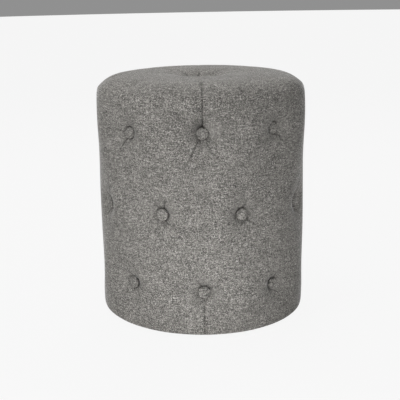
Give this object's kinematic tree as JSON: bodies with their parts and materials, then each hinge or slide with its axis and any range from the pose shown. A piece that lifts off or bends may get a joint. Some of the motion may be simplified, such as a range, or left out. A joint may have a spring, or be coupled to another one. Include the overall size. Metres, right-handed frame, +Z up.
{
  "type": "round tufted tuffet",
  "caption": "Round upright tuffet: a board drum padded with foam under one woven cover, drawn in by staggered covered buttons, on low glides.",
  "frame": {"origin": "on the floor, under the middle of the round body", "axes": "+Z up, -Y towards the front button of the upper ring, +X to the right of someone who faces the front"},
  "size_m": [0.398, 0.398, 0.453],
  "materials": {
    "woven_cloth": "matte",
    "seat_foam": "matte",
    "plywood": "matte",
    "fibreboard": "matte",
    "pine": "matte",
    "zinc_steel": "satin",
    "dust_cloth": "matte",
    "glide_plastic": "satin"
  },
  "bodies": {
    "root": {"fabric_cover": "woven_cloth", "top_foam": "seat_foam", "side_foam": "seat_foam", "base_board": "plywood", "top_board": "plywood", "drum_wall": "fibreboard", "post_1": "pine", "post_2": "pine", "post_3": "pine", "post_4": "pine", "top_screw_1": "zinc_steel", "top_screw_2": "zinc_steel", "top_screw_3": "zinc_steel", "top_screw_4": "zinc_steel", "base_screw_1": "zinc_steel", "base_screw_2": "zinc_steel", "base_screw_3": "zinc_steel", "base_screw_4": "zinc_steel", "dust_cover": "dust_cloth", "glide_1": "glide_plastic", "glide_2": "glide_plastic", "glide_3": "glide_plastic", "glide_4": "glide_plastic", "seat_button": "woven_cloth", "upper_button_1": "woven_cloth", "upper_button_2": "woven_cloth", "upper_button_3": "woven_cloth", "upper_button_4": "woven_cloth", "upper_button_5": "woven_cloth", "upper_button_6": "woven_cloth", "upper_button_7": "woven_cloth", "upper_button_8": "woven_cloth", "middle_button_1": "woven_cloth", "middle_button_2": "woven_cloth", "middle_button_3": "woven_cloth", "middle_button_4": "woven_cloth", "middle_button_5": "woven_cloth", "middle_button_6": "woven_cloth", "middle_button_7": "woven_cloth", "middle_button_8": "woven_cloth", "lower_button_1": "woven_cloth", "lower_button_2": "woven_cloth", "lower_button_3": "woven_cloth", "lower_button_4": "woven_cloth", "lower_button_5": "woven_cloth", "lower_button_6": "woven_cloth", "lower_button_7": "woven_cloth", "lower_button_8": "woven_cloth"}
  },
  "joints": []
}
